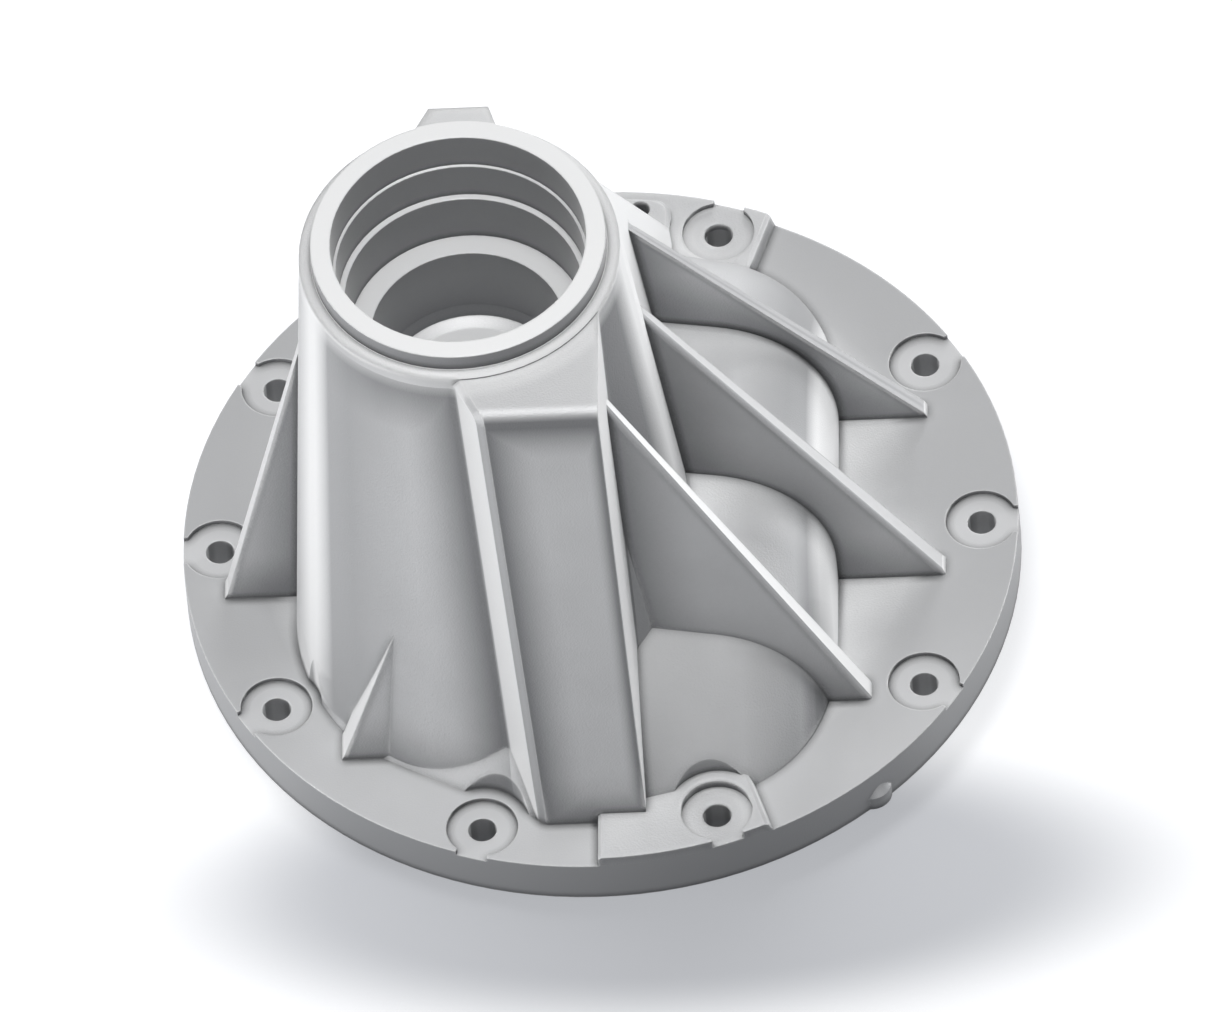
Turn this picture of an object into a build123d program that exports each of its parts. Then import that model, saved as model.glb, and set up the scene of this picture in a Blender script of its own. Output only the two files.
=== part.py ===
from build123d import *
from math import cos, radians, sin, tan
import os

# Ribbed cast housing: one aluminium casting that closes a gear case.
# A round bolting flange carries a gear dome and a drafted tower with a stepped bearing bore.
# Millimetres. The underside of the flange is z = 0 and its centre is the origin.
# A size that ends in "rise" is a height above the flange's top face.

# Flange and its bolts
flange_radius = 125.0
flange_thickness = 15.0
bolt_edge_distance = 11.0
bolt_circle_radius = flange_radius - bolt_edge_distance
bolt_low_angle = 31.8
bolt_high_angle = 72.0
bolt_hole_radius = 4.3
spotface_radius = 10.8
spotface_depth = 1.5
spotface_mouth_half_width = 4.8
side_clearance_radius = 13.7
end_clearance_radius = 14.6

# Raised lands round two of the bolts, each with a sloping side beside its bolt
front_land_rise = 4.0
front_land_left_x = -0.3
front_spotface_depth = 3.0
rear_land_rise = 4.8
rear_spotface_depth = 1.8
land_inner_radius = 97.0
land_side_offset = 14.3
land_side_run = 1.6
land_edge_bevel = 0.9

# Gear dome: a profile turned about a level axis along X
dome_axis_drop = 65.0
dome_left_x = -91.0
dome_crest_x = -10.0
dome_right_x = 71.3
dome_crest_radius = 128.7
dome_left_slope = 24.2
dome_right_slope = 11.1
dome_left_corner = 45.0
dome_crest_blend = 60.0
dome_right_corner = 42.0

# Tower: a drafted wall round the bearing bore
bore_x = -30.4
bore_y = -27.5
tower_rise = 177.0
tower_top_radius = 48.1
tower_foot_radius = 63.0
tower_lean_x = 2.4
tower_lean_y = -1.5
collar_radius = 44.3
collar_height = 5.8
tab_half_width = 9.0
tab_right_flare = 3.0
tab_left_flare = 4.9
tab_reach = 5.4
tab_height = 20.0
tab_root_wall = 2.0

# Stepped bore, each step by radius and depth below the collar's top face
mouth_radius = 38.4
mouth_depth = 13.1
seat_radius = 37.5
seat_depth = 26.7
bearing_radius = 35.7
bearing_depth = 44.6
pocket_radius = 29.0
pocket_depth = 74.6
pocket_floor_blend = 5.0
pocket_floor_bands = 2

# Front boss: a tall box from the tower's shoulder down to the flange
boss_foot_y = -108.7
boss_top_y = -90.9
boss_foot_left_x = -17.5
boss_top_left_x = -24.8
boss_foot_right_x = 14.2
boss_top_right_x = 11.2
boss_left_slant = 26.0
boss_top_drop = 0.5
boss_front_edge_radius = 5.0
boss_left_edge_bevel = 1.8
left_groove_radius = 2.0
right_groove_radius = 2.5

# Rear wedge: a back slope from the shoulder down to the rear of the flange
wedge_foot_y = 112.8
wedge_slope = 57.4
wedge_foot_right_x = 21.7
wedge_foot_left_x = -21.5
wedge_side_draft = 5.9
wedge_right_slant = 2.3
wedge_left_slant = 20.8
foot_block_half_width = 21.2
foot_block_inner_y = 90.0
foot_block_radius = 121.0
foot_block_rise = 8.0
foot_block_corner = 6.0
foot_block_bevel = 1.4
small_hole_x = 12.0
small_hole_y = 115.6
small_hole_radius = 3.0
small_hole_depth = 12.0

# Ribs, all parallel to X. Each has its middle plane and thickness at the flange, its outer end,
# and the place (x, rise) where the line of its top edge meets the wall.
rib_draft = 0.6
rib_end_rise = 2.2
rib_toe_run = 1.0
rib_edge_radius = 1.4
rear_rib_y = 41.6
rear_rib_thickness = 4.8
rear_rib_end_x = 96.8
rear_rib_root = (14.8, 96.1)
middle_rib_y = -16.9
middle_rib_thickness = 7.2
middle_rib_end_x = 102.4
middle_rib_root = (20.5, 132.3)
front_rib_y = -62.6
front_rib_thickness = 7.6
front_rib_end_x = 80.4
front_rib_root = (12.2, 145.4)
left_rib_y = -15.6
left_rib_thickness = 6.6
left_rib_end_x = -111.5
left_rib_root = (-82.9, 116.4)
corner_rib_y = -76.5
corner_rib_thickness = 9.5
corner_rib_lean = 2.3
corner_rib_end_x = -76.3
corner_rib_root = (-60.0, 50.8)

# Walls of the space underneath
dome_wall = 6.0
tower_wall = 7.0
floor_wall = 6.0
cavity_radius = 93.0

# Small lug low on the rim
lug_angle = -48.2
lug_radius = 6.0
lug_reach = 1.8
lug_height = 5.0

flange_top = flange_thickness
tower_top = flange_top + tower_rise
collar_top = tower_top + collar_height
dome_axis_z = flange_top - dome_axis_drop
inner_top = collar_top - pocket_depth - floor_wall
sink = 3.0
far = 3.0 * flange_radius


def polar(radius, angle):
    """A point of the flange's plan by radius and angle in degrees."""
    return radius * cos(radians(angle)), radius * sin(radians(angle))


def bolt_points():
    """Angle and place of each bolt, the rise of its land, its spotface's depth and the room for its tool."""
    angles = [0.0, 180.0]
    for a in (bolt_low_angle, bolt_high_angle):
        angles += [a, -a, 180.0 - a, a - 180.0]
    on_land = {
        bolt_high_angle: (rear_land_rise, rear_spotface_depth),
        -bolt_high_angle: (front_land_rise, front_spotface_depth),
    }
    points = []
    for a in angles:
        rise, depth = on_land.get(a, (0.0, spotface_depth))
        x, y = polar(bolt_circle_radius, a)
        room = end_clearance_radius if abs(y) > abs(x) else side_clearance_radius
        points.append((a, x, y, rise, depth, room))
    return points


def upright(radius, x, y, z0, z1):
    """A plain upright cylinder between two heights."""
    return Pos(x, y, z0) * Cylinder(radius, z1 - z0, align=(Align.CENTER, Align.CENTER, Align.MIN))


def slab(x0, x1, y0, y1, z0, z1):
    """A block with its faces square to the axes."""
    return Pos(x0, y0, z0) * Box(x1 - x0, y1 - y0, z1 - z0, align=(Align.MIN, Align.MIN, Align.MIN))


def outline(points):
    """A flat face with straight sides."""
    return make_face(Polyline(*points, close=True))


def prism_between(low, z_low, high, z_high):
    """A solid with flat sides between two outlines at two heights."""
    foot = [(x, y, z_low) for x, y in low]
    head = [(x, y, z_high) for x, y in high]
    loops = [foot, head]
    for i in range(len(foot)):
        loops.append([foot[i - 1], foot[i], head[i], head[i - 1]])
    return Part() + Solid(Shell([outline(loop).face() for loop in loops]))


def flange_land(rise, left_x, angle):
    """A raised land from a straight left end to a sloping side beside the bolt at an angle."""
    rows = []
    for offset in (land_side_offset + sink * land_side_run / rise, land_side_offset - land_side_run):
        x, y = polar(offset, angle + 90.0 if angle < 0.0 else angle - 90.0)
        reach_x, reach_y = polar(far, angle)
        rows.append([(left_x, y), (x, y), (x + reach_x, y + reach_y), (left_x, y + reach_y)])
    body = prism_between(rows[0], flange_top - sink, rows[1], flange_top + rise)
    body = body & (upright(flange_radius, 0, 0, 0, far) - upright(land_inner_radius, 0, 0, 0, far))
    top = flange_top + rise
    edges = body.edges().filter_by_position(Axis.Z, top, top).filter_by(GeomType.LINE)
    return chamfer(edges, land_edge_bevel)


def blunted(corners, radii):
    """Corner points with each corner cut flat where its rounding would lie furthest in."""
    points = []
    for i, (corner, radius) in enumerate(zip(corners, radii)):
        here = Vector(*corner)
        back = (Vector(*corners[i - 1]) - here).normalized()
        ahead = (Vector(*corners[(i + 1) % len(corners)]) - here).normalized()
        turn = 180.0 - back.get_angle(ahead)
        cut = radius * (tan(radians(turn / 2.0)) - tan(radians(turn / 4.0)))
        ends = [here + back * cut, here + ahead * cut] if cut > 0.0 else [here]
        points += [(p.X, p.Y) for p in ends]
    return points


def dome(inset, z_low):
    """The gear dome, or with an inset the space inside it."""
    left = dome_left_x + inset
    right = dome_right_x - inset
    crest = dome_crest_radius - inset
    left_r = crest - (dome_crest_x - left) * tan(radians(dome_left_slope))
    right_r = crest - (right - dome_crest_x) * tan(radians(dome_right_slope))
    base_r = dome_axis_drop - flange_thickness - sink
    corners = [(left, base_r), (left, left_r), (dome_crest_x, crest), (right, right_r), (right, base_r)]
    radii = [0.0, dome_left_corner - inset, dome_crest_blend - inset, dome_right_corner - inset, 0.0]
    if inset == 0.0:
        line = FilletPolyline(*corners, radius=radii, close=True)
    else:
        line = Polyline(*blunted(corners, radii), close=True)
    section = Plane.XZ * make_face(line)
    turned = revolve(Pos(0, 0, dome_axis_z) * section, axis=Axis((0, 0, dome_axis_z), (1, 0, 0)))
    return turned & slab(-far, far, -far, far, z_low, far)


def tower(inset, z_low, z_high):
    """The drafted tower wall, or with an inset the space inside it."""
    foot = Vector(bore_x + tower_lean_x, bore_y + tower_lean_y, flange_top)
    axis = Vector(-tower_lean_x, -tower_lean_y, tower_rise)
    slope = (tower_foot_radius - tower_top_radius) / axis.length
    spare = 2.0 * flange_thickness
    low_radius = tower_foot_radius + slope * spare - inset
    high_radius = tower_top_radius - slope * spare - inset
    height = axis.length + 2.0 * spare
    base = Plane(origin=foot - axis.normalized() * spare, z_dir=axis)
    cone = base * Cone(low_radius, high_radius, height, align=(Align.CENTER, Align.CENTER, Align.MIN))
    return cone & slab(-far, far, -far, far, z_low, z_high)


def boss(inset, z_low, z_high, back_y):
    """The box in front of the tower, or with an inset the space inside it."""
    side = inset / cos(radians(boss_left_slant))
    rows = []
    for z in (z_low, z_high):
        share = (z - flange_top) / tower_rise
        front_y = boss_foot_y + share * (boss_top_y - boss_foot_y) + inset
        left_x = boss_foot_left_x + share * (boss_top_left_x - boss_foot_left_x) + side
        right_x = boss_foot_right_x + share * (boss_top_right_x - boss_foot_right_x) - inset
        left_x -= inset * tan(radians(boss_left_slant))
        back_left_x = left_x - (back_y - front_y) * tan(radians(boss_left_slant))
        rows.append([(left_x, front_y), (right_x, front_y), (right_x, back_y), (back_left_x, back_y)])
    return prism_between(rows[0], z_low, rows[1], z_high)


def tower_with_boss():
    """The tower and its boss in one, with the boss's top edges and both grooves rounded."""
    low = flange_top - sink
    high = tower_top - boss_top_drop
    front = boss(0.0, low, high, bore_y)
    front = fillet(front.edges().filter_by_position(Axis.Z, high, high).sort_by(Axis.Y)[0], boss_front_edge_radius)
    front = chamfer(front.edges().filter_by_position(Axis.Z, high, high).sort_by(Axis.X)[0], boss_left_edge_bevel)
    body = tower(0.0, low, tower_top) + front
    grooves = body.edges().filter_by(GeomType.HYPERBOLA).sort_by(Axis.X)
    body = fillet(grooves[0], left_groove_radius)
    grooves = body.edges().filter_by(GeomType.HYPERBOLA).sort_by(Axis.X)
    return fillet(grooves[-1], right_groove_radius)


def wedge(inset, z_low, z_high):
    """The back slope behind the tower, or with an inset the space inside it."""
    front_y = bore_y + tower_lean_y + pocket_radius / 2.0
    rows = []
    for z in (z_low, z_high):
        up = z - flange_top
        rear_y = wedge_foot_y - (up + inset / cos(radians(wedge_slope))) / tan(radians(wedge_slope))
        draft = up * tan(radians(wedge_side_draft)) + inset
        along_rear = wedge_foot_y - rear_y
        along_front = wedge_foot_y - front_y
        right = wedge_foot_right_x - draft
        left = wedge_foot_left_x + draft
        right_grow = tan(radians(wedge_right_slant))
        left_grow = tan(radians(wedge_left_slant))
        rows.append([
            (right + along_front * right_grow, front_y),
            (right + along_rear * right_grow, rear_y),
            (left - along_rear * left_grow, rear_y),
            (left - along_front * left_grow, front_y),
        ])
    return prism_between(rows[0], z_low, rows[1], z_high)


def foot_block():
    """The low block at the rear that the wedge runs out on."""
    w = foot_block_half_width
    body = slab(-w, w, foot_block_inner_y, far, flange_top - sink, flange_top + foot_block_rise)
    body = body & upright(foot_block_radius, 0, 0, 0, far)
    body = fillet(body.edges().filter_by(Axis.Z).sort_by(Axis.Y)[2:], foot_block_corner)
    top = flange_top + foot_block_rise
    edges = body.edges().filter_by_position(Axis.Z, top, top).sort_by(Axis.Y)[1:]
    return chamfer(edges, foot_block_bevel)


def rib(y, thickness, end_x, root, draft, lean, edge_radius):
    """One upright rib: a sloping top edge that runs into the wall, and two drafted faces."""
    root_x, root_rise = root
    slope = (root_rise - rib_end_rise) / (root_x - end_x)
    inward = thickness / 2.0 if slope > 0.0 else -thickness / 2.0
    inner_x = root_x + inward
    inner_rise = root_rise + slope * inward
    toe_x = end_x - rib_toe_run if slope > 0.0 else end_x + rib_toe_run
    side = [
        (toe_x, flange_top - sink),
        (toe_x, flange_top),
        (end_x, flange_top + rib_end_rise),
        (inner_x, flange_top + inner_rise),
        (bore_x, flange_top + inner_rise),
        (bore_x, flange_top - sink),
    ]
    profile = Pos(0, y, 0) * extrude(Plane.XZ * outline(side), thickness, both=True)
    rows = []
    for rise in (-sink, inner_rise):
        half = thickness / 2.0 - rise * tan(radians(draft))
        middle = y + rise * tan(radians(lean))
        low, high = middle - half, middle + half
        rows.append([(-far, low), (far, low), (far, high), (-far, high)])
    body = profile & prism_between(rows[0], flange_top - sink, rows[1], flange_top + inner_rise)
    if edge_radius == 0.0:
        return body
    sloping = body.faces().sort_by(lambda face: abs(face.normal_at().X) * face.normal_at().Z)[-1]
    return fillet(sloping.edges().sort_by(SortBy.LENGTH)[-2:], edge_radius)


def tab():
    """The short key on the rear of the collar."""
    reach = bore_y + collar_radius + tab_reach
    root = bore_y + mouth_radius + tab_root_wall
    w = tab_half_width
    right, left = bore_x + w, bore_x - w
    high = [(left - tab_left_flare, root), (left, reach), (right, reach), (right + tab_right_flare, root)]
    low = [(x, y - tab_reach) for x, y in high]
    return prism_between(low, collar_top - tab_height, high, collar_top)


def lug():
    """A small lug low on the rim, flush with the underside."""
    r = flange_radius + lug_reach - lug_radius
    x, y = r * cos(radians(lug_angle)), r * sin(radians(lug_angle))
    body = upright(lug_radius, x, y, 0, lug_height)
    tip = Cone(lug_radius, lug_radius / 2.0, lug_height, align=(Align.CENTER, Align.CENTER, Align.MIN))
    return body + Pos(x, y, lug_height) * tip


def bore():
    """The stepped blind bore, turned about the tower's axis."""
    steps = [(mouth_radius, mouth_depth), (seat_radius, seat_depth), (bearing_radius, bearing_depth)]
    section = [(0.0, sink), (mouth_radius, sink)]
    for (radius, depth), below in zip(steps, (seat_radius, bearing_radius, pocket_radius)):
        section += [(radius, -depth), (below, -depth)]
    for band in range(pocket_floor_bands + 1):
        x, y = polar(pocket_floor_blend, 90.0 * band / pocket_floor_bands)
        section.append((pocket_radius - pocket_floor_blend + x, pocket_floor_blend - pocket_depth - y))
    section.append((0.0, -pocket_depth))
    return Pos(bore_x, bore_y, collar_top) * revolve(Plane.XZ * outline(section), axis=Axis.Z)


def cavity():
    """The open space underneath, which follows the outer walls."""
    below = -sink
    space = dome(dome_wall, below)
    space += tower(tower_wall, below, inner_top)
    space += wedge(dome_wall, below, inner_top)
    boss_back = bore_y - tower_top_radius + sink
    space += boss(dome_wall, below, inner_top, boss_back)
    return space & upright(cavity_radius, 0, 0, below, far)


def outer_body():
    """Everything outside, without ribs, bores or the space underneath."""
    body = upright(flange_radius, 0, 0, 0, flange_top)
    body += dome(0.0, flange_top - sink)
    body += tower_with_boss()
    body += wedge(0.0, flange_top - sink, tower_top)
    body += foot_block()
    body += flange_land(front_land_rise, front_land_left_x, -bolt_high_angle)
    body += flange_land(rear_land_rise, 0.0, bolt_high_angle)
    return body


def ribbed_housing():
    body = outer_body()
    for angle, x, y, rise, depth, room in bolt_points():
        body -= upright(room, x, y, flange_top + rise, flange_top + tower_rise / 2.0)
    for y, thickness, end_x, root, edge_radius in (
        (rear_rib_y, rear_rib_thickness, rear_rib_end_x, rear_rib_root, 0.0),
        (middle_rib_y, middle_rib_thickness, middle_rib_end_x, middle_rib_root, rib_edge_radius),
        (front_rib_y, front_rib_thickness, front_rib_end_x, front_rib_root, rib_edge_radius),
        (left_rib_y, left_rib_thickness, left_rib_end_x, left_rib_root, 0.0),
    ):
        body += rib(y, thickness, end_x, root, rib_draft, 0.0, edge_radius)
    body += rib(corner_rib_y, corner_rib_thickness, corner_rib_end_x, corner_rib_root, 0.0, corner_rib_lean, 0.0)
    body += upright(collar_radius, bore_x, bore_y, tower_top - sink, collar_top)
    body += tab()
    body += lug()
    body -= cavity()
    body -= bore()
    for angle, x, y, rise, depth, room in bolt_points():
        floor = flange_top + rise - depth
        w = spotface_mouth_half_width
        mouth = Rot(0, 0, angle) * slab(bolt_circle_radius, flange_radius + sink, -w, w, floor, floor + sink + depth)
        body -= upright(spotface_radius, x, y, floor, floor + sink + depth) + mouth
        body -= upright(bolt_hole_radius, x, y, -sink, flange_top + rise + sink)
    hole_top = flange_top + foot_block_rise
    body -= upright(small_hole_radius, small_hole_x, small_hole_y, hole_top - small_hole_depth, hole_top + sink)
    return body


os.makedirs("parts", exist_ok=True)
housing = ribbed_housing()
housing.label = "ribbed_housing"
export_step(housing, "parts/ribbed_housing.step")
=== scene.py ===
"""Finish with painted light and shade, stage, light and camera for a ribbed cast gear housing."""
from math import cos, radians, sin

import bpy
from bpy.props import FloatProperty, FloatVectorProperty, PointerProperty
from bpy.types import Operator, Panel, PropertyGroup
from mathutils import Matrix, Vector

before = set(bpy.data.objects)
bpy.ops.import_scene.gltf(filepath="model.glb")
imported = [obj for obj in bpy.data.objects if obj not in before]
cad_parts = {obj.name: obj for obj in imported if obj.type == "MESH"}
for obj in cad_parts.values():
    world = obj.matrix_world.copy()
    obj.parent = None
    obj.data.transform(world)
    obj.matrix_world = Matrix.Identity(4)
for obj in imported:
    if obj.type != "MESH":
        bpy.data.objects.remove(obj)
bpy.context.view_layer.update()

bl_info = {
    "name": "Ribbed cast housing",
    "version": (1, 0, 0),
    "blender": (4, 5, 0),
    "location": "3D View > Sidebar > Housing",
    "description": "Cast finish, stage, lamps and camera for a ribbed gear housing",
    "category": "Object",
}

HOUSING = "ribbed_housing"

# The photograph's frame in pixels, where the middle of the flange's top face lies in it, and how far
# the camera stands from that middle, in metres
PHOTO_WIDTH = 1232.0
PHOTO_HEIGHT = 1012.0
FLANGE_PIXEL = Vector((600.69, 534.22))
CAMERA_DISTANCE = 1.2

# Upright axes, and distances from them, in metres
FLANGE_AXIS = (0.0, 0.0)
BORE_AXIS = (-0.0304, -0.0275)
COLLAR_RADIUS = 0.0446
RIM_START = 0.1205
RING_SPAN = (0.094, 0.102)
SHOULDER_SPAN = (0.0555, 0.0525)

# Heights above the ground
FLANGE_TOP = 0.015
SPOTFACE_TOP = 0.0142
RING_TOP = 0.0153
BORE_FLOOR = 0.12
POCKET_TOP = 0.131
SHOULDER_HEIGHT = 0.184
SHOULDER_TOP = 0.188
BOSS_TOP = 0.187

# Places along Y, from the front at the lowest value to the rear
BOSS_FOOT_Y = -0.1092
BOSS_FRONT_Y = -0.0885
TOWER_FRONT_Y = -0.055
# The flange's top takes painted shade from the front to the rear over this span
FLANGE_SHADE_SPAN = (-0.09, -0.02)

# Lines beside and on the front boss, each as a lean along Z and the X where it would meet the ground
GROOVE_LEAN = 0.0346
GROOVE_X = -0.0252
BOSS_LEFT_LEAN = 0.0413
BOSS_LEFT_X = -0.0151
BOSS_RIGHT_LEAN = 0.0169
BOSS_RIGHT_X = 0.0145

# Widths of the soft painted shade beside those lines, how fast it falls off, and its share under the
# shoulder
GROOVE_SHADE = 0.018
PANEL_SHADE = 0.014
PANEL_EDGE_SHADE = 0.005
GROOVE_FALL = 2.0
PANEL_FALL = 1.5
UNDER_SHOULDER = 0.7

# How openness from 0 to 1 turns into a mask: the value where it begins and the value where it is full
# The edge mask places a painted highlight, the line and hollow masks place painted shade, and the corner
# mask only sets a rounding radius
CORNER_OPEN = (0.92, 0.72)
EDGE_OPEN = (0.75, 0.95)
LINE_OPEN = (0.9, 0.55)
HOLLOW_OPEN = (0.97, 0.45)

# The same for how alike the rounded normal and the surface's own are
# The edge mask places a painted highlight, and the border mask places painted dark and pale borders
EDGE_TURN = (0.995, 0.85)
BORDER_TURN = (0.995, 0.88)

# The same for how far a face looks along an axis
# Painted light and shade follow the way a face looks: light on side walls and the bore's level ledges,
# shade on slanting faces, the rim and the tower's right wall, and hollow shade on faces that look forward
# or back
UP_FACING = (0.5, 0.85)
LEVEL_FACING = (0.9, 0.99)
RIM_FACING = (0.0, 0.5)
FRONT_FACING = (0.5, 0.85)
SIDE_FACING = (0.82, 0.9)
LIMB_FACING = (-0.93, -0.99)
SLANT_FACING = (0.35, 0.7)
RIGHT_FACING = (0.75, 0.85)
FORWARD_FACING = (-0.1, -0.32)

# Shares that stay: of a corner's painted shade line on faces that look up, of a hollow's painted shade on
# the flange's ring, and of the grain on machined places
UP_FACE_LINE = 0.35
RING_HOLLOW = 0.4
MACHINED_GRAIN = 0.3

# How much of the painted edge highlight the shoulder takes, and how much painted side light the left limb
# loses
SHOULDER_PALENESS = 0.35
LIMB_SHARE = 0.8

# Cloudy tone, grain and gloss of the casting
CLOUD_SCALE = 28.0
CLOUD_DETAIL = 5.0
CLOUD_SPAN = (0.3, 0.7)
CLOUD_STRENGTH = 0.25
CLOUD_PALENESS = 1.35
GRAIN_DETAIL = 3.0
METALNESS = 0.3
SHEEN = 0.4
SHEEN_ROUGHNESS = 0.3

# How many directions are tried to find the openness and the rounded normal at a point
OPENNESS_SAMPLES = 4
BEVEL_SAMPLES = 4

# How far the floor lies below the part, and its gloss
FLOOR_DROP = 0.0002
FLOOR_ROUGHNESS = 0.9
FLOOR_SPECULAR = 0.1

# The painted shadow on the floor in front of the part: its middle, its reach along X and Y, and the shares
# of that reach where it begins and where it is full
SHADE_MIDDLE = (0.021, -0.121)
SHADE_REACH = (0.138, 0.048)
SHADE_BORDER = (1.3, 0.7)

# Colour of the room light, and the place that every lamp is turned towards
WHITE = (1.0, 1.0, 1.0, 1.0)
LAMP_TARGET = (0.0, 0.0, 0.05)

# Each lamp's name, the setting that holds its power, its place, and its width and height
PART_LAMPS = (
    ("key lamp", "key_power", (0.0, -0.1, 1.3), (0.4, 0.4)),
    ("front lamp", "front_power", (0.0, -1.0, 0.6), (0.5, 0.3)),
    ("left lamp", "left_power", (-0.95, -0.4, 0.15), (0.4, 0.2)),
    ("left rear lamp", "left_rear_power", (-1.0, 0.4, 0.12), (0.4, 0.3)),
    ("rear lamp", "rear_power", (0.2, 1.0, 0.35), (0.4, 0.3)),
    ("right rear lamp", "right_rear_power", (1.0, 0.3, 0.12), (0.4, 0.3)),
)
FLOOR_LAMP = ("floor lamp", "floor_power", (-0.3, 0.65, 1.15), (0.9, 0.35))


class HousingFinish(PropertyGroup):
    """Colours and sizes of the cast surface, with its painted light and shade."""

    cast_colour: FloatVectorProperty(
        name="Cast colour", description="Colour of the bare casting",
        subtype="COLOR", size=3, min=0.0, max=1.0, default=(0.56, 0.565, 0.575))
    # Painted shade: a dark line along inner corners, found by how open the space above the surface is
    painted_crease_shade: FloatVectorProperty(
        name="Painted crease shade", description="Dark tone of the line in inner corners",
        subtype="COLOR", size=3, min=0.0, max=1.0, default=(0.05, 0.051, 0.054))
    # Painted highlight: a bright tone on outer edges and on the shoulder under the collar
    painted_edge_highlight: FloatVectorProperty(
        name="Painted edge highlight", description="Painted highlight on outer edges and at the shoulder",
        subtype="COLOR", size=3, min=0.0, max=1.0, default=(0.85, 0.855, 0.86))
    # Painted light: walls that look left or right take this paler tone
    painted_side_light: FloatVectorProperty(
        name="Painted side light", description="Paler tone of the walls that face left or right",
        subtype="COLOR", size=3, min=0.0, max=1.0, default=(0.88, 0.885, 0.89))
    # Painted shade: faces that look half aside take this darker tone
    painted_slant_shade: FloatVectorProperty(
        name="Painted slant shade", description="Darker tone of the faces that face half aside",
        subtype="COLOR", size=3, min=0.0, max=1.0, default=(0.37, 0.375, 0.385))
    # Painted shade: the flange's top grows darker towards the rear
    painted_flange_shade: FloatVectorProperty(
        name="Painted flange shade", description="Darker tone of the flange's top towards the rear",
        subtype="COLOR", size=3, min=0.0, max=1.0, default=(0.48, 0.485, 0.495))
    # Painted shade on the flange's turned rim wall
    painted_rim_shade: FloatVectorProperty(
        name="Painted rim shade", description="Painted shade on the flange's turned rim",
        subtype="COLOR", size=3, min=0.0, max=1.0, default=(0.34, 0.345, 0.355))
    # Painted shade on the turned walls inside the bore
    painted_bore_shade: FloatVectorProperty(
        name="Painted bore shade", description="Painted shade on the turned walls in the bore",
        subtype="COLOR", size=3, min=0.0, max=1.0, default=(0.32, 0.325, 0.335))
    # Painted light on the bore's turned ledges and the collar's top face, which look up
    painted_ledge_light: FloatVectorProperty(
        name="Painted ledge light", description="Painted light on the turned ledges and the collar's top face",
        subtype="COLOR", size=3, min=0.0, max=1.0, default=(0.86, 0.865, 0.87))
    # A paler tone on spotface floors, and painted light on the border of faces that look up
    border_light_and_spotface_tone: FloatVectorProperty(
        name="Border light and spotface tone", description="Tone of spotface floors and of the border of faces that look up",
        subtype="COLOR", size=3, min=0.0, max=1.0, default=(0.64, 0.645, 0.655))
    # Painted light on faces that look up out of a hollow
    painted_lift_light: FloatVectorProperty(
        name="Painted lift light", description="Paler tone of faces that look up out of a hollow",
        subtype="COLOR", size=3, min=0.0, max=1.0, default=(0.9, 0.905, 0.91))
    # Painted shade in hollows, on dark borders and on shaded places of walls
    painted_hollow_shade: FloatVectorProperty(
        name="Painted hollow shade", description="Dark tone of hollows, borders and shaded places on walls",
        subtype="COLOR", size=3, min=0.0, max=1.0, default=(0.19, 0.194, 0.202))
    # These reaches and this strength size the painted shade of corner lines and hollows, and the painted
    # dark and pale borders of faces
    line_reach: FloatProperty(
        name="Line reach", description="How far the dark line in a corner reaches out",
        unit="LENGTH", min=0.0, default=0.003)
    hollow_reach: FloatProperty(
        name="Hollow reach", description="How far the dark tone of a hollow reaches out",
        unit="LENGTH", min=0.0, default=0.022)
    border_reach: FloatProperty(
        name="Border reach", description="How wide the paler or darker border of a face is",
        unit="LENGTH", min=0.0, default=0.005)
    border_strength: FloatProperty(
        name="Border strength", description="How much paler or darker a face's border is",
        subtype="FACTOR", min=0.0, max=1.0, default=0.8)
    edge_radius: FloatProperty(
        name="Edge radius", description="Radius at which sharp edges catch the light",
        unit="LENGTH", min=0.0, default=0.0008)
    blend_radius: FloatProperty(
        name="Blend radius", description="Radius that cast inner corners seem to have",
        unit="LENGTH", min=0.0, default=0.003)
    shoulder_blend: FloatProperty(
        name="Shoulder blend", description="Radius that the shoulder under the collar seems to have",
        unit="LENGTH", min=0.0, default=0.004)
    grain_size: FloatProperty(
        name="Grain size", description="Size of the casting sand's grain",
        unit="LENGTH", min=0.0001, default=0.0006)
    grain_depth: FloatProperty(
        name="Grain depth", description="Height of the casting sand's grain",
        unit="LENGTH", min=0.0, default=0.00014)
    roughness: FloatProperty(
        name="Roughness", description="How matt the casting is",
        subtype="FACTOR", min=0.0, max=1.0, default=0.5)


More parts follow.
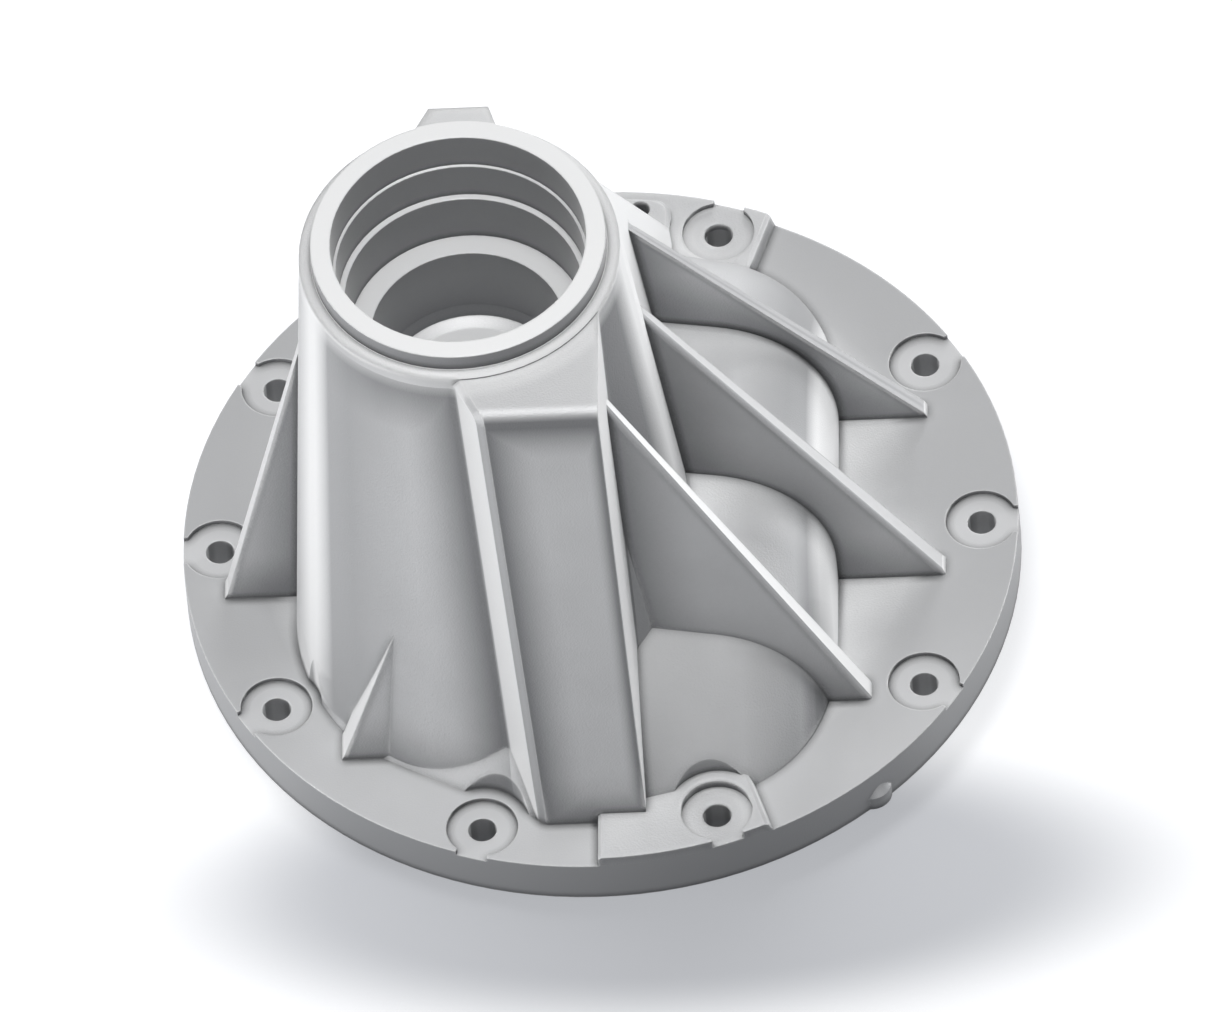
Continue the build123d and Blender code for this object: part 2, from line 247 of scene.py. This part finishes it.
class HousingStage(PropertyGroup):
    """Floor with its painted shadow, lamps and camera."""

    floor_size: FloatProperty(
        name="Floor size", description="Width of the floor",
        unit="LENGTH", min=0.5, default=8.0)
    floor_colour: FloatVectorProperty(
        name="Floor colour", description="Colour of the floor",
        subtype="COLOR", size=3, min=0.0, max=1.0, default=(0.5, 0.505, 0.515))
    # Painted shadow on the floor in front of the part
    painted_floor_shadow: FloatVectorProperty(
        name="Painted floor shadow", description="Colour of the painted shadow on the floor in front of the part",
        subtype="COLOR", size=3, min=0.0, max=1.0, default=(0.27, 0.276, 0.29))
    floor_glow: FloatProperty(
        name="Floor glow", description="Whiteness that the floor shows whatever the light",
        min=0.0, default=1.4)
    key_power: FloatProperty(
        name="Key power", description="Power of the lamp straight above",
        unit="POWER", min=0.0, default=8.0)
    front_power: FloatProperty(
        name="Front power", description="Power of the weak lamp in front",
        unit="POWER", min=0.0, default=0.55)
    left_power: FloatProperty(
        name="Left power", description="Power of the low lamp on the left",
        unit="POWER", min=0.0, default=4.2)
    left_rear_power: FloatProperty(
        name="Left rear power", description="Power of the low lamp behind on the left",
        unit="POWER", min=0.0, default=1.1)
    rear_power: FloatProperty(
        name="Rear power", description="Power of the lamp behind the part",
        unit="POWER", min=0.0, default=2.4)
    right_rear_power: FloatProperty(
        name="Right rear power", description="Power of the low lamp behind on the right",
        unit="POWER", min=0.0, default=4.2)
    floor_power: FloatProperty(
        name="Floor power", description="Power of the lamp that lights only the floor",
        unit="POWER", min=0.0, default=12.0)
    world_strength: FloatProperty(
        name="Room light", description="Strength of the light from all round",
        min=0.0, default=0.35)
    camera_azimuth: FloatProperty(
        name="Camera azimuth", description="Turn of the camera to the right of the front",
        subtype="ANGLE", unit="ROTATION", default=radians(5.15))
    camera_elevation: FloatProperty(
        name="Camera elevation", description="Height of the camera above level",
        subtype="ANGLE", unit="ROTATION", default=radians(52.34))
    camera_roll: FloatProperty(
        name="Camera roll", description="Lean of upright lines to the left in the picture",
        subtype="ANGLE", unit="ROTATION", default=radians(6.32))
    view_width: FloatProperty(
        name="View width", description="Width of the picture at the object",
        unit="LENGTH", min=0.1, default=0.368)


def take_in(tree, labels):
    """Number inputs of a node group, by name."""
    for label in labels:
        tree.interface.new_socket(name=label, in_out="INPUT", socket_type="NodeSocketFloat")
    return tree.nodes.new("NodeGroupInput").outputs


def give_out(tree, results):
    """Outputs of a node group, each linked to its result."""
    for label in results:
        kind = "NodeSocketVector" if label == "Normal" else "NodeSocketFloat"
        tree.interface.new_socket(name=label, in_out="OUTPUT", socket_type=kind)
    leave = tree.nodes.new("NodeGroupOutput")
    for label, result in results.items():
        tree.links.new(result, leave.inputs[label])


def place_group(tree, group):
    """A node that holds a node group."""
    node = tree.nodes.new("ShaderNodeGroup")
    node.node_tree = group
    return node


def remap(tree, value, span):
    """A value stretched so that it is 0 at the span's start and 1 at its end, and held there."""
    ramp = tree.nodes.new("ShaderNodeMapRange")
    ramp.inputs["From Min"].default_value, ramp.inputs["From Max"].default_value = span
    tree.links.new(value, ramp.inputs["Value"])
    return ramp.outputs["Result"]


def maths(tree, operation, *values):
    """One step of arithmetic on numbers or sockets, held between 0 and 1."""
    step = tree.nodes.new("ShaderNodeMath")
    step.operation = operation
    step.use_clamp = True
    for socket, value in zip(step.inputs, values):
        if isinstance(value, bpy.types.NodeSocket):
            tree.links.new(value, socket)
        else:
            socket.default_value = value
    return step.outputs["Value"]


def times(tree, first, *others):
    """The product of masks."""
    for other in others:
        first = maths(tree, "MULTIPLY", first, other)
    return first


def minus(tree, first, *others):
    """A mask with others taken off it."""
    for other in others:
        first = maths(tree, "SUBTRACT", first, other)
    return first


def most(tree, first, *others):
    """The largest of several masks."""
    for other in others:
        first = maths(tree, "MAXIMUM", first, other)
    return first


def below(tree, value, limit):
    """A mask of where a value is below a limit."""
    return maths(tree, "LESS_THAN", value, limit)


def beyond(tree, value, limit):
    """A mask of where a value is above a limit."""
    return maths(tree, "GREATER_THAN", value, limit)


def mix_number(tree, factor, first, second):
    """A number between two sockets."""
    mix = tree.nodes.new("ShaderNodeMix")
    for label, value in (("Factor", factor), ("A", first), ("B", second)):
        tree.links.new(value, mix.inputs[label])
    return mix.outputs["Result"]


def mix_colour(tree, factor, first, second):
    """A colour between two values or sockets."""
    mix = tree.nodes.new("ShaderNodeMix")
    mix.data_type = "RGBA"
    tree.links.new(factor, mix.inputs["Factor"])
    for label, value in (("A", first), ("B", second)):
        socket = next(s for s in mix.inputs if s.name == label and s.type == "RGBA")
        if isinstance(value, bpy.types.NodeSocket):
            tree.links.new(value, socket)
        else:
            socket.default_value = (*value, 1.0)
    return next(s for s in mix.outputs if s.type == "RGBA")


def axes(tree, vector):
    """X, Y and Z of a vector."""
    split = tree.nodes.new("ShaderNodeSeparateXYZ")
    tree.links.new(vector, split.inputs["Vector"])
    return split.outputs


def vector_maths(tree, operation, vector, other):
    """A node for one step of arithmetic on a vector socket and a fixed vector."""
    step = tree.nodes.new("ShaderNodeVectorMath")
    step.operation = operation
    step.inputs[1].default_value = other
    tree.links.new(vector, step.inputs[0])
    return step


def distance_from(tree, place, axis):
    """How far a place is from an upright axis."""
    flat = vector_maths(tree, "MULTIPLY", place, (1.0, 1.0, 0.0)).outputs["Vector"]
    return vector_maths(tree, "DISTANCE", flat, (*axis, 0.0)).outputs["Value"]


def leaning_x(tree, place, lean):
    """X of a place, carried down to the ground along a leaning line."""
    return vector_maths(tree, "DOT_PRODUCT", place, (1.0, 0.0, lean)).outputs["Value"]


def openness(tree, reach):
    """How open the space above the surface is within a reach, from 0 to 1."""
    corner = tree.nodes.new("ShaderNodeAmbientOcclusion")
    corner.samples = OPENNESS_SAMPLES
    tree.links.new(reach, corner.inputs["Distance"])
    return corner.outputs["AO"]


def rounding(tree, radius):
    """A normal that rounds edges and corners, and how alike it is to the surface's own."""
    bevel = tree.nodes.new("ShaderNodeBevel")
    bevel.samples = BEVEL_SAMPLES
    tree.links.new(radius, bevel.inputs["Radius"])
    geometry = tree.nodes.new("ShaderNodeNewGeometry")
    alike = tree.nodes.new("ShaderNodeVectorMath")
    alike.operation = "DOT_PRODUCT"
    tree.links.new(bevel.outputs["Normal"], alike.inputs[0])
    tree.links.new(geometry.outputs["Normal"], alike.inputs[1])
    return bevel.outputs["Normal"], alike.outputs["Value"]


def edge_group():
    """Masks for a painted highlight on outer edges, painted shade in corner lines and hollows, and painted
    borders of faces, and a normal that rounds edges.
    """
    tree = bpy.data.node_groups.new("edges and creases", "ShaderNodeTree")
    given = take_in(tree, (
        "Edge radius", "Blend radius", "Shoulder blend", "Line reach", "Hollow reach", "Border reach",
        "Machined", "Ring", "Shoulder", "Up"))
    near = openness(tree, given["Line reach"])
    wide = openness(tree, given["Hollow reach"])
    corner = minus(tree, remap(tree, wide, CORNER_OPEN), given["Machined"])
    radius = mix_number(tree, corner, given["Edge radius"], given["Blend radius"])
    radius = mix_number(tree, given["Shoulder"], radius, given["Shoulder blend"])
    rounded, alike = rounding(tree, radius)
    # Less painted line shade on faces that look up, and less painted hollow shade on the flange's ring
    faint = minus(tree, times(tree, given["Up"], 1.0 - UP_FACE_LINE), given["Ring"])
    shallow = times(tree, given["Ring"], 1.0 - RING_HOLLOW)
    border = remap(tree, rounding(tree, given["Border reach"])[1], BORDER_TURN)
    give_out(tree, {
        "Edge": times(tree, remap(tree, alike, EDGE_TURN), remap(tree, near, EDGE_OPEN)),
        "Line": times(tree, remap(tree, near, LINE_OPEN), minus(tree, 1.0, faint)),
        "Hollow": times(tree, remap(tree, wide, HOLLOW_OPEN), minus(tree, 1.0, shallow)),
        "Border": times(tree, border, minus(tree, 1.0, given["Machined"])),
        "Normal": rounded,
    })
    return tree


def part_group():
    """Masks by place on the part and by the way that a face looks, most of which place painted light and
    shade.
    """
    tree = bpy.data.node_groups.new("places and faces", "ShaderNodeTree")
    surface = tree.nodes.new("ShaderNodeTexCoord")
    place = surface.outputs["Object"]
    where = axes(tree, place)
    facing = axes(tree, surface.outputs["Normal"])
    from_middle = distance_from(tree, place, FLANGE_AXIS)
    from_bore = distance_from(tree, place, BORE_AXIS)

    up = remap(tree, facing["Z"], UP_FACING)
    flange = below(tree, where["Z"], RING_TOP)
    ring = times(tree, remap(tree, from_middle, RING_SPAN), flange)
    rim = beyond(tree, from_middle, RIM_START)
    bore = times(tree, below(tree, from_bore, COLLAR_RADIUS), beyond(tree, where["Z"], BORE_FLOOR))
    shoulder = remap(tree, where["Z"], (SHOULDER_HEIGHT, SHOULDER_TOP))
    shoulder = times(tree, shoulder, remap(tree, from_bore, SHOULDER_SPAN))

    along_x = maths(tree, "ABSOLUTE", facing["X"])
    along_y = maths(tree, "ABSOLUTE", facing["Y"])
    # Painted light: walls that look left or right take the side tone, and the far left limb takes less of
    # it
    limb = times(tree, remap(tree, facing["X"], LIMB_FACING), LIMB_SHARE)
    side = minus(tree, remap(tree, along_x, SIDE_FACING), bore, limb)
    # Painted shade on faces above the flange that look right and a little forward, as on the tower's right
    # wall
    right = times(
        tree,
        remap(tree, facing["X"], RIGHT_FACING),
        remap(tree, facing["Y"], FORWARD_FACING),
        beyond(tree, where["Z"], FLANGE_TOP),
    )
    give_out(tree, {
        "Machined": most(tree, ring, bore),
        "Ring": ring,
        "Bore": bore,
        "Pocket": times(tree, bore, below(tree, where["Z"], POCKET_TOP)),
        "Ledge": times(tree, bore, remap(tree, facing["Z"], LEVEL_FACING)),
        "Shoulder": minus(tree, shoulder, bore),
        "Shaded": most(tree, remap(tree, along_y, FRONT_FACING), bore),
        "Side": side,
        "Up": up,
        "Slanting": minus(tree, remap(tree, along_x, SLANT_FACING), side, bore),
        "Right shade": minus(tree, right, bore),
        "Spotface": times(tree, ring, below(tree, where["Z"], SPOTFACE_TOP), up),
        "Flange": times(tree, flange, up, remap(tree, where["Y"], FLANGE_SHADE_SPAN)),
        "Rim": minus(tree, rim, remap(tree, facing["Z"], RIM_FACING)),
    })
    return tree


def front_shade_group():
    """Soft painted shade beside the front boss, towards its edges and under the tower's shoulder."""
    tree = bpy.data.node_groups.new("front shade", "ShaderNodeTree")
    place = tree.nodes.new("ShaderNodeTexCoord").outputs["Object"]
    where = axes(tree, place)
    above_flange = beyond(tree, where["Z"], FLANGE_TOP)

    groove_x = leaning_x(tree, place, GROOVE_LEAN)
    groove = remap(tree, groove_x, (GROOVE_X - GROOVE_SHADE, GROOVE_X))
    under = remap(tree, where["Z"], (SHOULDER_HEIGHT - GROOVE_SHADE, SHOULDER_HEIGHT))
    groove = most(tree, maths(tree, "POWER", groove, GROOVE_FALL), times(tree, under, UNDER_SHOULDER))
    on_tower = times(
        tree,
        below(tree, groove_x, GROOVE_X),
        below(tree, where["Y"], TOWER_FRONT_Y),
        above_flange,
        below(tree, where["Z"], SHOULDER_TOP),
    )

    left_x = leaning_x(tree, place, BOSS_LEFT_LEAN)
    right_x = leaning_x(tree, place, BOSS_RIGHT_LEAN)
    panel = most(
        tree,
        remap(tree, left_x, (BOSS_LEFT_X + PANEL_SHADE, BOSS_LEFT_X)),
        remap(tree, right_x, (BOSS_RIGHT_X - PANEL_EDGE_SHADE, BOSS_RIGHT_X)),
        remap(tree, where["Z"], (BOSS_TOP - PANEL_SHADE, BOSS_TOP)),
        remap(tree, where["Z"], (FLANGE_TOP + PANEL_SHADE, FLANGE_TOP)),
    )
    panel = maths(tree, "POWER", panel, PANEL_FALL)
    on_boss = times(
        tree,
        below(tree, where["Y"], BOSS_FRONT_Y),
        beyond(tree, where["Y"], BOSS_FOOT_Y),
        above_flange,
        beyond(tree, left_x, BOSS_LEFT_X),
        below(tree, right_x, BOSS_RIGHT_X),
    )
    give_out(tree, {
        "Shade": most(tree, times(tree, groove, on_tower), times(tree, panel, on_boss)),
    })
    return tree


def cloud_tone(tree, place):
    """Faint cloudy mask, as on a blasted casting."""
    cloud = tree.nodes.new("ShaderNodeTexNoise")
    cloud.inputs["Scale"].default_value = CLOUD_SCALE
    cloud.inputs["Detail"].default_value = CLOUD_DETAIL
    tree.links.new(place, cloud.inputs["Vector"])
    return times(tree, remap(tree, cloud.outputs["Fac"], CLOUD_SPAN), CLOUD_STRENGTH)


def grain_normal(tree, place, finish, machined, rounded):
    """The rounded normal with the casting sand's grain, which is shallower on machined places."""
    grain = tree.nodes.new("ShaderNodeTexNoise")
    grain.inputs["Scale"].default_value = 1.0 / finish.grain_size
    grain.inputs["Detail"].default_value = GRAIN_DETAIL
    tree.links.new(place, grain.inputs["Vector"])
    depth = minus(tree, 1.0, times(tree, machined, 1.0 - MACHINED_GRAIN))
    bump = tree.nodes.new("ShaderNodeBump")
    bump.inputs["Strength"].default_value = 1.0
    bump.inputs["Distance"].default_value = finish.grain_depth
    tree.links.new(times(tree, grain.outputs["Fac"], depth), bump.inputs["Height"])
    tree.links.new(rounded, bump.inputs["Normal"])
    return bump.outputs["Normal"]


def cast_material(finish):
    """Satin as-cast aluminium with sand grain, painted shade in corners, hollows and on walls, and painted
    light on edges and side walls.
    """
    material = bpy.data.materials.new("cast aluminium")
    material.use_nodes = True
    tree = material.node_tree
    shader = tree.nodes["Principled BSDF"]
    place = tree.nodes.new("ShaderNodeTexCoord").outputs["Object"]
    part = place_group(tree, part_group()).outputs
    front_shade = place_group(tree, front_shade_group()).outputs["Shade"]
    edges = place_group(tree, edge_group())
    for label in ("Machined", "Ring", "Shoulder", "Up"):
        tree.links.new(part[label], edges.inputs[label])
    for label, value in (
        ("Edge radius", finish.edge_radius),
        ("Blend radius", finish.blend_radius),
        ("Shoulder blend", finish.shoulder_blend),
        ("Line reach", finish.line_reach),
        ("Hollow reach", finish.hollow_reach),
        ("Border reach", finish.border_reach),
    ):
        edges.inputs[label].default_value = value
    edges = edges.outputs

    # The border is painted dark on faces that look forward or back, and pale on the others apart from side
    # walls
    border = times(tree, edges["Border"], finish.border_strength)
    dark_border = times(tree, border, part["Shaded"])
    paler = [tone * CLOUD_PALENESS for tone in finish.cast_colour]
    colour = finish.cast_colour
    # Each mask lays its tone over the colour so far. The layers are a random cloudy tone, painted shade on
    # slanting faces, and painted light on side walls. Then come painted shade on the bore's walls, in
    # hollows, on the tower's right wall, beside the front boss, towards the flange's rear and on the rim,
    # and a paler tone on spotface floors. The last are painted light on faces that look up out of a hollow,
    # painted dark and pale borders, painted light at the shoulder, a painted shade line in inner corners,
    # painted light on the bore's ledges and a painted highlight on edges
    for mask, tone in (
        (cloud_tone(tree, place), paler),
        (part["Slanting"], finish.painted_slant_shade),
        (part["Side"], finish.painted_side_light),
        (part["Bore"], finish.painted_bore_shade),
        (times(tree, edges["Hollow"], part["Shaded"]), finish.painted_hollow_shade),
        (part["Right shade"], finish.painted_hollow_shade),
        (times(tree, front_shade, part["Shaded"]), finish.painted_hollow_shade),
        (part["Flange"], finish.painted_flange_shade),
        (part["Rim"], finish.painted_rim_shade),
        (part["Spotface"], finish.border_light_and_spotface_tone),
        (times(tree, edges["Hollow"], part["Up"]), finish.painted_lift_light),
        (dark_border, finish.painted_hollow_shade),
        (minus(tree, border, dark_border, part["Side"]), finish.border_light_and_spotface_tone),
        (times(tree, part["Shoulder"], SHOULDER_PALENESS), finish.painted_edge_highlight),
        (edges["Line"], finish.painted_crease_shade),
        (part["Ledge"], finish.painted_ledge_light),
        (minus(tree, edges["Edge"], part["Pocket"]), finish.painted_edge_highlight),
    ):
        colour = mix_colour(tree, mask, colour, tone)
    tree.links.new(colour, shader.inputs["Base Color"])
    shader.inputs["Metallic"].default_value = METALNESS
    shader.inputs["Roughness"].default_value = finish.roughness
    shader.inputs["Sheen Weight"].default_value = SHEEN
    shader.inputs["Sheen Roughness"].default_value = SHEEN_ROUGHNESS
    normal = grain_normal(tree, place, finish, part["Machined"], edges["Normal"])
    tree.links.new(normal, shader.inputs["Normal"])
    return material


class HOUSING_OT_cast_finish(Operator):
    """Give the housing its as-cast finish with painted light and shade"""

    bl_idname = "housing.cast_finish"
    bl_label = "Cast finish"

    def execute(self, context):
        material = cast_material(context.scene.housing_finish)
        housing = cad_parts[HOUSING]
        for slot in housing.material_slots:
            slot.material = material
        return {"FINISHED"}


def floor_shade(tree):
    """Mask of the painted shadow on the floor: an ellipse with a soft border."""
    place = tree.nodes.new("ShaderNodeTexCoord")
    shift = tree.nodes.new("ShaderNodeMapping")
    shift.vector_type = "TEXTURE"
    shift.inputs["Location"].default_value = (*SHADE_MIDDLE, 0.0)
    shift.inputs["Scale"].default_value = (*SHADE_REACH, 1.0)
    tree.links.new(place.outputs["Object"], shift.inputs["Vector"])
    away = tree.nodes.new("ShaderNodeVectorMath")
    away.operation = "LENGTH"
    tree.links.new(shift.outputs["Vector"], away.inputs[0])
    shade = tree.nodes.new("ShaderNodeMapRange")
    shade.interpolation_type = "SMOOTHSTEP"
    shade.inputs["From Min"].default_value, shade.inputs["From Max"].default_value = SHADE_BORDER
    tree.links.new(away.outputs["Value"], shade.inputs["Value"])
    return shade.outputs["Result"]


def floor_material(stage):
    """Plain matt floor that shows white to the camera, in reflections and through glass, with a painted
    shadow in front of the part.
    """
    material = bpy.data.materials.new("studio floor")
    material.use_nodes = True
    tree = material.node_tree
    shader = tree.nodes["Principled BSDF"]
    shader.inputs["Roughness"].default_value = FLOOR_ROUGHNESS
    shader.inputs["Specular IOR Level"].default_value = FLOOR_SPECULAR
    # Painted shadow: inside the ellipse the floor takes the darker shadow colour
    colour = mix_colour(tree, floor_shade(tree), stage.floor_colour, stage.painted_floor_shadow)
    tree.links.new(colour, shader.inputs["Base Color"])
    tree.links.new(colour, shader.inputs["Emission Color"])
    ray = tree.nodes.new("ShaderNodeLightPath").outputs
    seen = maths(tree, "ADD", ray["Is Camera Ray"], ray["Is Glossy Ray"])
    seen = maths(tree, "ADD", seen, ray["Is Transmission Ray"])
    glow = tree.nodes.new("ShaderNodeMath")
    glow.operation = "MULTIPLY"
    glow.inputs[1].default_value = stage.floor_glow
    tree.links.new(seen, glow.inputs[0])
    tree.links.new(glow.outputs["Value"], shader.inputs["Emission Strength"])
    return material


def add_floor(stage):
    """The floor, just under the part."""
    place = (0.0, 0.0, -FLOOR_DROP)
    bpy.ops.mesh.primitive_plane_add(size=stage.floor_size, location=place)
    floor = bpy.context.object
    floor.name = "floor"
    bpy.ops.object.transform_apply(location=True, rotation=True, scale=True)
    floor.data.materials.append(floor_material(stage))
    return floor


def lit_collection(name, member):
    """A collection of one object, for lamps that light nothing else."""
    collection = bpy.data.collections.new(name)
    collection.objects.link(member)
    return collection


def add_lamp(stage, lit, name, setting, place, size):
    """An area lamp turned towards the part, which lights only one collection."""
    way = Vector(place) - Vector(LAMP_TARGET)
    turn = way.to_track_quat("Z", "Y").to_euler()
    bpy.ops.object.light_add(type="AREA", location=place, rotation=turn)
    lamp = bpy.context.object
    lamp.name = name
    lamp.data.shape = "RECTANGLE"
    lamp.data.size, lamp.data.size_y = size
    lamp.data.energy = getattr(stage, setting)
    lamp.light_linking.receiver_collection = lit


def add_room_light(scene, strength):
    """White light from all round."""
    world = bpy.data.worlds.new("room")
    world.use_nodes = True
    sky = world.node_tree.nodes["Background"]
    sky.inputs["Color"].default_value = WHITE
    sky.inputs["Strength"].default_value = strength
    scene.world = world


def add_camera(stage):
    """An orthographic camera at the photograph's angle and framing."""
    azimuth, elevation, roll = stage.camera_azimuth, stage.camera_elevation, stage.camera_roll
    back = Vector((sin(azimuth) * cos(elevation), -cos(azimuth) * cos(elevation), sin(elevation)))
    right = Vector((cos(azimuth), sin(azimuth), 0.0))
    up = back.cross(right)
    right, up = right * cos(roll) - up * sin(roll), up * cos(roll) + right * sin(roll)
    pixel = stage.view_width / PHOTO_WIDTH
    aside = (PHOTO_WIDTH / 2.0 - FLANGE_PIXEL.x) * pixel
    above = (FLANGE_PIXEL.y - PHOTO_HEIGHT / 2.0) * pixel
    place = Vector((*FLANGE_AXIS, FLANGE_TOP)) + right * aside + up * above + back * CAMERA_DISTANCE
    turn = Matrix((right, up, back)).transposed().to_euler()
    bpy.ops.object.camera_add(location=place, rotation=turn)
    camera = bpy.context.object
    camera.name = "photo camera"
    camera.data.type = "ORTHO"
    camera.data.ortho_scale = stage.view_width
    bpy.context.scene.camera = camera


class HOUSING_OT_stage(Operator):
    """Add the floor, the lamps, the room light and the camera"""

    bl_idname = "housing.stage"
    bl_label = "Stage"

    def execute(self, context):
        stage = context.scene.housing_stage
        bpy.ops.object.select_all(action="DESELECT")
        floor = add_floor(stage)
        lit_part = lit_collection("lit part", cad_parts[HOUSING])
        lit_floor = lit_collection("lit floor", floor)
        for lamp in PART_LAMPS:
            add_lamp(stage, lit_part, *lamp)
        add_lamp(stage, lit_floor, *FLOOR_LAMP)
        add_room_light(context.scene, stage.world_strength)
        context.scene.view_settings.view_transform = "Standard"
        add_camera(stage)
        return {"FINISHED"}


class HOUSING_PT_sidebar(Panel):
    """Operators and settings of the ribbed housing"""

    bl_label = "Ribbed housing"
    bl_idname = "HOUSING_PT_sidebar"
    bl_space_type = "VIEW_3D"
    bl_region_type = "UI"
    bl_category = "Housing"

    def draw(self, context):
        layout = self.layout
        for operator in OPERATORS:
            layout.operator(operator.bl_idname)
        for settings in (context.scene.housing_finish, context.scene.housing_stage):
            box = layout.box()
            for label in settings.__annotations__:
                box.prop(settings, label)


OPERATORS = (HOUSING_OT_cast_finish, HOUSING_OT_stage)
CLASSES = (HousingFinish, HousingStage, *OPERATORS, HOUSING_PT_sidebar)


def register():
    for cls in CLASSES:
        bpy.utils.register_class(cls)
    bpy.types.Scene.housing_finish = PointerProperty(type=HousingFinish)
    bpy.types.Scene.housing_stage = PointerProperty(type=HousingStage)


def unregister():
    del bpy.types.Scene.housing_stage
    del bpy.types.Scene.housing_finish
    for cls in reversed(CLASSES):
        bpy.utils.unregister_class(cls)


def main():
    register()
    bpy.ops.housing.cast_finish()
    bpy.ops.housing.stage()


if __name__ == "__main__":
    main()
